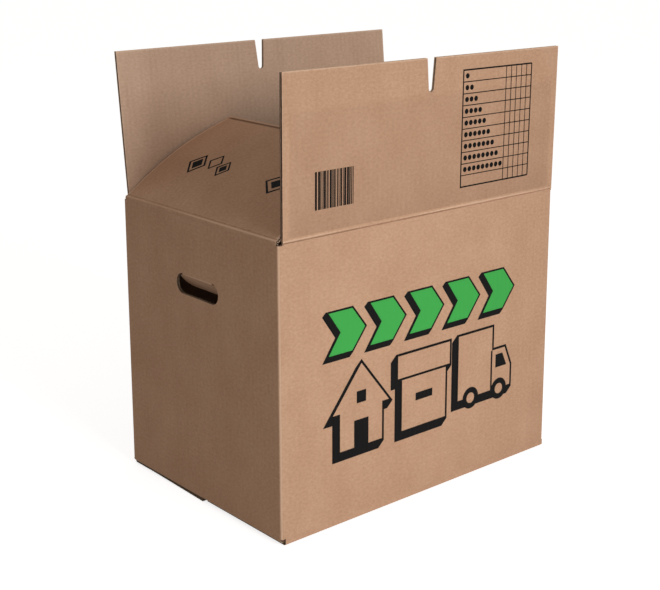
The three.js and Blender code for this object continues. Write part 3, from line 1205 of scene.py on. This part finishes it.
# %% The four long creases
LONG_DENT, END_DENT = 1.3, 0.1
long_start = RING_HIGH - LONG_FOLD
end_start = RING_HIGH - END_FOLD
for end, side, lean, shade in (
    ("front", -1, FRONT_LEAN, FLAP_SHADE + FOLD_SHADE), ("back", 1, BACK_LEAN, 0.0),
):
    make_crease(
        f"{end}_crease", (0, side * HALF_WIDTH, LONG_FOLD),
        (1, 0), (0, -side), long_start, -lean, -LEFT_REACH, RIGHT_REACH,
        skew=FLAP_SKEW, dent=LONG_DENT, painted_shade=True, shade=shade,
    )
for end, side in (("left", -1), ("right", 1)):
    make_crease(
        f"{end}_crease", (side * HALF_LENGTH, 0, END_FOLD),
        (0, side), (-side, 0), end_start, END_TURN, -END_FLAP_HALF, END_FLAP_HALF, dent=END_DENT,
    )

# %% [markdown]
# ## The hand-hole tabs
#
# The hand hole isn't cut out whole. The knife leaves its top edge, so the cut piece swings
# inward when fingers push it. It has the hole's outline, less the width of the cut. Its upper
# corners are cut away a little, because they would catch on the wall when the tab turns. A plain
# slab would do from far away, but three papers show at its edge, so it is made like the flaps.

# %% Tabs
TAB_GAP = 0.7
TAB_NECK = HOLE_LENGTH / 2 - HOLE_HEIGHT / 2 - 2 * TAB_GAP
TAB_SIDE = HOLE_LENGTH / 2 - TAB_GAP
TAB_RELIEF, RELIEF_SLOPE = 6.1, 0.6
TAB_RIM = 0.1  # rows near the two edges of a tab, as a share of its height
TAB_WEAR = 0.3
NECK_STEP = 0.01  # two columns this near to each other make the side of the neck upright
TAB_MIDDLE = (-30.0, 30.0, 10.0)  # first column, last column and step between the round ends


def tab_top(u, middle, half):
    if abs(u) <= TAB_NECK:
        return -TAB_START
    top = min(middle + half, -BOARD - TAB_GAP)
    if abs(u) > TAB_SIDE - BOARD:
        top = min(top, -TAB_RELIEF - (abs(u) - TAB_SIDE + BOARD) * RELIEF_SLOPE)
    return top


def tab_rows(u):
    half = stadium_half(u, HOLE_LENGTH - 2 * TAB_GAP, HOLE_HEIGHT - 2 * TAB_GAP)
    middle = -HOLE_HEIGHT / 2
    low = middle - half
    top = max(tab_top(u, middle, half), low)
    rim = (top - low) * TAB_RIM
    return [low, low + rim, (low + top) / 2, top - rim, top]


def tab_place(side):
    cos_turn, sin_turn = math.cos(math.radians(TAB_TURN)), math.sin(math.radians(TAB_TURN))

    def place(u, v, depth):
        reach = depth * cos_turn - v * sin_turn
        up = v * cos_turn + depth * sin_turn
        return side * (HALF_LENGTH - reach), side * u, HOLE_TOP + up

    return place


def make_tab(name, body, cad_node, side):
    radius = HOLE_HEIGHT / 2 - TAB_GAP
    flat_half = HOLE_LENGTH / 2 - HOLE_HEIGHT / 2
    arc = [flat_half + radius * math.sin(math.radians(a)) for a in range(0, 91, 9)]
    neck = [TAB_NECK, TAB_NECK + NECK_STEP]
    halves = [sign * u for sign in (-1, 1) for u in arc + neck]
    columns = merged_columns(halves, span(*TAB_MIDDLE))
    pile = Pile(name)
    pile.board(columns, tab_rows, everywhere, tab_place(side), lambda u, v: TAB_WEAR)
    pile.finish(body, BOARD_PAPERS, (cad_node,))


for end, side in (("left", -1), ("right", 1)):
    make_tab(f"{end}_tab_board", f"{end}_tab", f"{end}_hand_tab", side)

# %% Creases of the tabs
NECK_OVERLAP = 1.2  # how far the crease reaches past each end of the neck
TAB_CREASE_HALF = TAB_NECK + NECK_OVERLAP
TAB_PINCHED = 3.0
for end, side in (("left", -1), ("right", 1)):
    make_crease(
        f"{end}_tab_crease", (side * HALF_LENGTH, 0, HOLE_TOP),
        (0, side), (-side, 0), 0.0, TAB_TURN, -TAB_CREASE_HALF, TAB_CREASE_HALF,
        stop=TAB_START, upward=-1, pinched=TAB_PINCHED,
    )
print("tabs hang from", round(HOLE_TOP, 1))

# %% [markdown]
# ## The print on the front
#
# Two rows of outlined marks with a drop shadow fill the front: five green chevrons above a house,
# a carton and a truck in bare kraft. Each mark is a flat shape. Its black outline is the shape
# grown by a few millimetres, and the shadow is that outline dragged down to the left. The bare
# face of the kraft marks is a patch of the same paper as the liner. The marks could be masks in
# the liner's material, but flat shapes keep sharp edges from close by and need no picture.

# %% Outlines
MITRE_LEAST, MITRE_MOST = 0.3, 2.2  # these keep the tips of sharp corners short


def grown(shape, width):
    """The outline moved outward by width, with mitred corners; shapes run counterclockwise."""
    result = []
    for i, point in enumerate(shape):
        before, after = Vector(shape[i - 1]), Vector(shape[(i + 1) % len(shape)])
        here = Vector(point)
        first, second = (here - before).normalized(), (after - here).normalized()
        first_out, second_out = Vector((first.y, -first.x)), Vector((second.y, -second.x))
        bisector = (first_out + second_out).normalized()
        stretch = min(1.0 / max(bisector.dot(first_out), MITRE_LEAST), MITRE_MOST)
        result.append(tuple(here + bisector * width * stretch))
    return result


def moved(shape, across, up):
    return [(x + across, y + up) for x, y in shape]


def disc(across, up, radius, sides=28):
    steps = [2 * math.pi * n / sides for n in range(sides)]
    return [(across + radius * math.cos(a), up + radius * math.sin(a)) for a in steps]


def bar(left, low, right, high):
    return [(left, low), (right, low), (right, high), (left, high)]


print("a bar grown by 1 mm starts at", grown(bar(0, 0, 10, 10), 1)[0])

# %% Flat inked shapes
PRINT_LIFT = 0.05  # how far print lies in front of its panel
END_PRINT_LIFT = 0.12
INK_STEP = 0.015  # each shape lies this far in front of the one before
SHADOW_LAYERS = 3
BLACK, GREEN, BARE = range(3)
INK_PAPERS = ("black_ink", "green_ink", "outer_liner")


class Print(Pile):
    """Flat inked shapes lying just proud of a panel."""

    def __init__(self, name, place, flat_start=0.0):
        super().__init__(name)
        self.place, self.flat_start = place, flat_start
        self.lift = PRINT_LIFT

    def shape(self, outline, ink, holes=()):
        loops = [[Vector((x, y, 0)) for x, y in loop] for loop in (outline, *holes)]
        start = len(self.points)
        for loop in loops:
            for point in loop:
                self.points.append(self.place(point.x, point.y, -self.lift))
                self.flat.append(((point.x + self.flat_start) * MM, point.y * MM))
                self.wear_and_shade.append(0.0)
        for triangle in tessellate_polygon(loops):
            self.faces.append([start + corner for corner in triangle])
            self.slots.append(ink)
        self.lift += INK_STEP

    def restart(self):
        self.lift = PRINT_LIFT

    def shadowed(self, outline, ink, width, drag):
        """A mark with a black outline and a drop shadow dragged down to the left."""
        edge = grown(outline, width)
        far = moved(edge, *drag)
        for i, point in enumerate(edge):
            j = (i + 1) % len(edge)
            self.lift = PRINT_LIFT + INK_STEP * (i % SHADOW_LAYERS)
            self.shape([point, edge[j], far[j], far[i]], BLACK)
        self.lift = PRINT_LIFT + SHADOW_LAYERS * INK_STEP
        self.shape(far, BLACK)
        self.shape(edge, BLACK)
        self.shape(outline, ink)


def front_print_place(u, v, depth):
    return u, -HALF_WIDTH + depth, v


print("inks of the print:", INK_PAPERS)

# %% Shapes of the marks
CHEVRON = [(0, 0), (36, 0), (56, 26), (36, 52), (0, 52), (18, 26)]
HOUSE = [(11, 0), (78, 0), (78, 48), (89, 48), (44.5, 104), (0, 48), (11, 48)]
CARTON = [(7, 0), (82, 0), (82, 69), (89, 69), (89, 98), (0, 98), (0, 69), (7, 69)]
TRUCK = [(0, 14), (97, 14), (97, 42), (86, 68), (62, 68), (62, 100), (0, 100)]
TRUCK_WINDOW = [(69, 43), (90, 43), (82, 61), (69, 61)]
GREEN_EDGE, GREEN_DRAG = 2.4, (-5.5, -5.0)
BARE_EDGE, BARE_DRAG = 3.2, (-9.0, -8.5)
CHEVRONS = 5
CHEVRON_LEFT, CHEVRON_LOW, CHEVRON_STEP = -156, 216, 64.5
MARK_LOW = 93
HOUSE_LEFT, CARTON_LEFT, TRUCK_LEFT = -150, -46, 59
DOOR, WINDOW = bar(33, 0, 56, 34), bar(37, 55, 52, 70)
LID_LINE, HANDLE = bar(7, 66, 82, 69), bar(30, 34, 59, 44)
CAB_LINE = bar(60, 14, 63, 68)
WHEELS, AXLE_UP = (23, 76), 13
TYRE_RADIUS, HUB_RADIUS = 14.5, 7.0


def print_bare(marks, outline, left, details):
    """A mark in bare kraft, with black details on it."""
    marks.shadowed(moved(outline, left, MARK_LOW), BARE, BARE_EDGE, BARE_DRAG)
    for detail in details:
        marks.shape(moved(detail, left, MARK_LOW), BLACK)


def print_wheels(marks):
    for wheel in WHEELS:
        middle = (TRUCK_LEFT + wheel, MARK_LOW + AXLE_UP)
        marks.shape(disc(*middle, TYRE_RADIUS), BLACK)
        marks.shape(disc(*middle, HUB_RADIUS), BARE)


def print_front():
    marks = Print("front_print", front_print_place, FRONT_U[0] + HALF_LENGTH - BEND)
    for n in range(CHEVRONS):
        chevron = moved(CHEVRON, CHEVRON_LEFT + CHEVRON_STEP * n, CHEVRON_LOW)
        marks.shadowed(chevron, GREEN, GREEN_EDGE, GREEN_DRAG)
    print_bare(marks, HOUSE, HOUSE_LEFT, (DOOR, WINDOW))
    print_bare(marks, CARTON, CARTON_LEFT, (LID_LINE, HANDLE))
    print_bare(marks, TRUCK, TRUCK_LEFT, (CAB_LINE, TRUCK_WINDOW))
    print_wheels(marks)
    marks.finish("box", INK_PAPERS)


print_front()

# %% [markdown]
# ## The print on the flaps
#
# The front flap carries a ruled tick list and a bar pattern. One to nine dots tell the rows of the
# list apart. The bar pattern is made from random widths with a fixed seed, so it codes nothing
# and is the same in every run. The left end flap has a few small diamonds. Their sides have many
# points, because a flat shape with long sides would cut through the bow of the flap. Each point is
# put in place by the flap's own function, where a separate plane would have to be fitted by eye.

# %% Tick list
LIST_LEFT, LIST_RIGHT, LIST_LOW, LIST_HIGH = 55.4, 177.6, 24.0, 168.0
LIST_ROWS = 10
TICK_COLUMNS = 5
TICK_WIDTH = 9.3
RULE = 1.2
FRAME_RULE = 1.9
DOT_RADIUS = 3.3
DOT_SIDES = 14
DOT_START = 7.0
DOT_STEP = 7.9


def rule_across(marks, left, right, level, width):
    marks.shape(bar(left, level - width / 2, right, level + width / 2), BLACK)


def rule_up(marks, across, low, high, width):
    marks.shape(bar(across - width / 2, low, across + width / 2, high), BLACK)


def print_list(marks):
    row = (LIST_HIGH - LIST_LOW) / LIST_ROWS
    for n in range(LIST_ROWS + 1):
        width = FRAME_RULE if n in (0, LIST_ROWS) else RULE
        rule_across(marks, LIST_LEFT, LIST_RIGHT, LIST_LOW + n * row, width)
    marks.restart()
    for n in range(TICK_COLUMNS + 1):
        width = FRAME_RULE if n == 0 else RULE
        rule_up(marks, LIST_RIGHT - n * TICK_WIDTH, LIST_LOW, LIST_HIGH, width)
    rule_up(marks, LIST_LEFT, LIST_LOW - FRAME_RULE / 2, LIST_HIGH + FRAME_RULE / 2, FRAME_RULE)
    for n in range(1, LIST_ROWS):
        marks.restart()
        middle = LIST_HIGH - (n - 0.5) * row
        for dot in range(n):
            across = LIST_LEFT + DOT_START + DOT_STEP * dot
            marks.shape(disc(across, middle, DOT_RADIUS, DOT_SIDES), BLACK)
            marks.restart()


print("the tick list is", round(LIST_RIGHT - LIST_LEFT, 1), "mm wide")

# %% Bars
BARS_LEFT, BARS_RIGHT, BARS_LOW, BARS_HIGH = -176.0, -118.7, 29.5, 73.0
BAR_MODULE = 0.5
BAR_WIDTHS, SPACE_WIDTHS = (2, 3, 4, 6), (1, 1, 2, 3)  # in modules
BAR_SEED = 11


def print_bars(marks):
    chance = random.Random(BAR_SEED)
    across, is_bar = BARS_LEFT, True
    while across < BARS_RIGHT - BAR_MODULE:
        width = BAR_MODULE * chance.choice(BAR_WIDTHS if is_bar else SPACE_WIDTHS)
        marks.restart()
        if is_bar:
            marks.shape(bar(across, BARS_LOW, min(across + width, BARS_RIGHT), BARS_HIGH), BLACK)
        across += width
        is_bar = not is_bar


def print_front_flap():
    marks = Print("front_flap_print", long_flap_place(-1, FRONT_LEAN))
    print_list(marks)
    print_bars(marks)
    marks.finish("front_flap", INK_PAPERS)


print_front_flap()


# %% Diamonds
DIAMOND_STEPS = 6  # points along each side
SIDE_SLANT = 1.5  # a line is about this much wider across a corner than across a side


def diamond(across, up, half_wide, half_tall):
    corners = [(half_wide, 0), (0, half_tall), (-half_wide, 0), (0, -half_tall)]
    outline = []
    for n, (x, y) in enumerate(corners):
        next_x, next_y = corners[(n + 1) % len(corners)]
        for step in range(DIAMOND_STEPS):
            part = step / DIAMOND_STEPS
            outline.append((across + x + (next_x - x) * part, up + y + (next_y - y) * part))
    return outline


def print_diamond(marks, across, up, half_wide, half_tall, line, core):
    """An outlined diamond, with a solid one in it if core is more than nothing."""
    marks.lift = END_PRINT_LIFT
    inset = SIDE_SLANT * line
    inner = diamond(across, up, half_wide - inset, half_tall - inset)
    marks.shape(diamond(across, up, half_wide, half_tall), BLACK, [inner[::-1]])
    if core:
        marks.shape(diamond(across, up, half_wide * core, half_tall * core), BLACK)


def print_end_flap():
    marks = Print("left_flap_print", end_flap_place(-1))
    print_diamond(marks, across=-88, up=78, half_wide=17, half_tall=19, line=2.6, core=0.55)
    print_diamond(marks, across=-60, up=88, half_wide=13, half_tall=15, line=2.2, core=0.0)
    print_diamond(marks, across=-36, up=80, half_wide=13, half_tall=15, line=2.2, core=0.5)
    print_diamond(marks, across=74, up=78, half_wide=22, half_tall=19, line=2.6, core=0.5)
    marks.finish("left_flap", INK_PAPERS)


print_end_flap()

# %% [markdown]
# ## Studio
#
# The photo is a cut-out on pure white. A large soft lamp stands in front of the box and a little
# above it, and a small low one lights the foot of the front wall, so the end wall stays in shade.
# Stronger lamps could turn a grey floor white, but they would bleach the box. Instead the floor
# adds a little light of its own to what the camera sees, so that it is white and still keeps the
# soft shadow of the box.

# %% What the camera sees of the background
def seen_mask(tree):
    """One where the camera looks, straight, in a shine or through something clear."""
    path = node(tree, "ShaderNodeLightPath")
    seen = maths(tree, "MAXIMUM", path.outputs["Is Camera Ray"], path.outputs["Is Glossy Ray"])
    return maths(tree, "MAXIMUM", seen, path.outputs["Is Transmission Ray"])


# %% Floor
FLOOR_HALF = 30.0  # metres
FLOOR_DROP = 0.0005
FLOOR_GREY = (0.62, 0.62, 0.62, 1)
FLOOR_GLOW = (0.79, 0.79, 0.79, 1)


def make_floor_material():
    material = bpy.data.materials.new("floor")
    material.use_nodes = True
    tree = material.node_tree
    shader = tree.nodes["Principled BSDF"]
    shader.inputs["Base Color"].default_value = FLOOR_GREY
    shader.inputs["Roughness"].default_value = 1.0
    shader.inputs["Specular IOR Level"].default_value = 0.0
    glow = node(tree, "ShaderNodeEmission", None, Color=FLOOR_GLOW, Strength=seen_mask(tree))
    both = tree.nodes.new("ShaderNodeAddShader")
    tree.links.new(shader.outputs[0], both.inputs[0])
    tree.links.new(glow.outputs[0], both.inputs[1])
    tree.links.new(both.outputs[0], tree.nodes["Material Output"].inputs["Surface"])
    return material


def make_floor():
    mesh = bpy.data.meshes.new("floor")
    corners = [(x * FLOOR_HALF, y * FLOOR_HALF, 0) for x, y in ((-1, -1), (1, -1), (1, 1), (-1, 1))]
    mesh.from_pydata(corners, [], [(0, 1, 2, 3)])
    floor = bpy.data.objects.new("floor", mesh)
    floor.location.z = -FLOOR_DROP
    bpy.context.collection.objects.link(floor)
    mesh.materials.append(make_floor_material())


make_floor()
print("floor reaches", FLOOR_HALF, "m to each side")

# %% World light
WHITE = (1, 1, 1, 1)


def make_world(colour, strength):
    """White where the camera looks past the floor, and a softer warm light for the box."""
    world = bpy.data.worlds.new("studio")
    bpy.context.scene.world = world
    world.use_nodes = True
    tree = world.node_tree
    light = tree.nodes["Background"]
    light.inputs["Color"].default_value = (*colour, 1)
    light.inputs["Strength"].default_value = strength
    white = node(tree, "ShaderNodeBackground", None, Color=WHITE, Strength=1.0)
    either = tree.nodes.new("ShaderNodeMixShader")
    tree.links.new(seen_mask(tree), either.inputs[0])
    tree.links.new(light.outputs[0], either.inputs[1])
    tree.links.new(white.outputs[0], either.inputs[2])
    tree.links.new(either.outputs[0], tree.nodes["World Output"].inputs["Surface"])


make_world(colour=(1.0, 0.95, 0.89), strength=0.37)
print("world light ready")


# %% Lamps
def make_lamp(name, place, target, size, power, spread=180.0):
    """A rectangular lamp; place, target and size are in metres and spread is in degrees."""
    lamp = bpy.data.objects.new(name, bpy.data.lights.new(name, "AREA"))
    lamp.data.shape = "RECTANGLE"
    lamp.data.size, lamp.data.size_y = size
    lamp.data.energy = power
    lamp.data.spread = math.radians(spread)
    lamp.location = place
    direction = Vector(target) - Vector(place)
    lamp.rotation_euler = direction.to_track_quat("-Z", "Y").to_euler()
    bpy.context.collection.objects.link(lamp)
    print(name, power, "W")


make_lamp("key_lamp", (-0.1, -2.4, 1.25), target=(0, 0, 0.35), size=(1.1, 0.8), power=27.0)
make_lamp(
    "front_lamp", (-0.25, -1.5, 0.05),
    target=(-0.04, 0, 0.13), size=(0.4, 0.3), power=1.15, spread=70.0,
)
bpy.context.scene.view_settings.view_transform = "Standard"
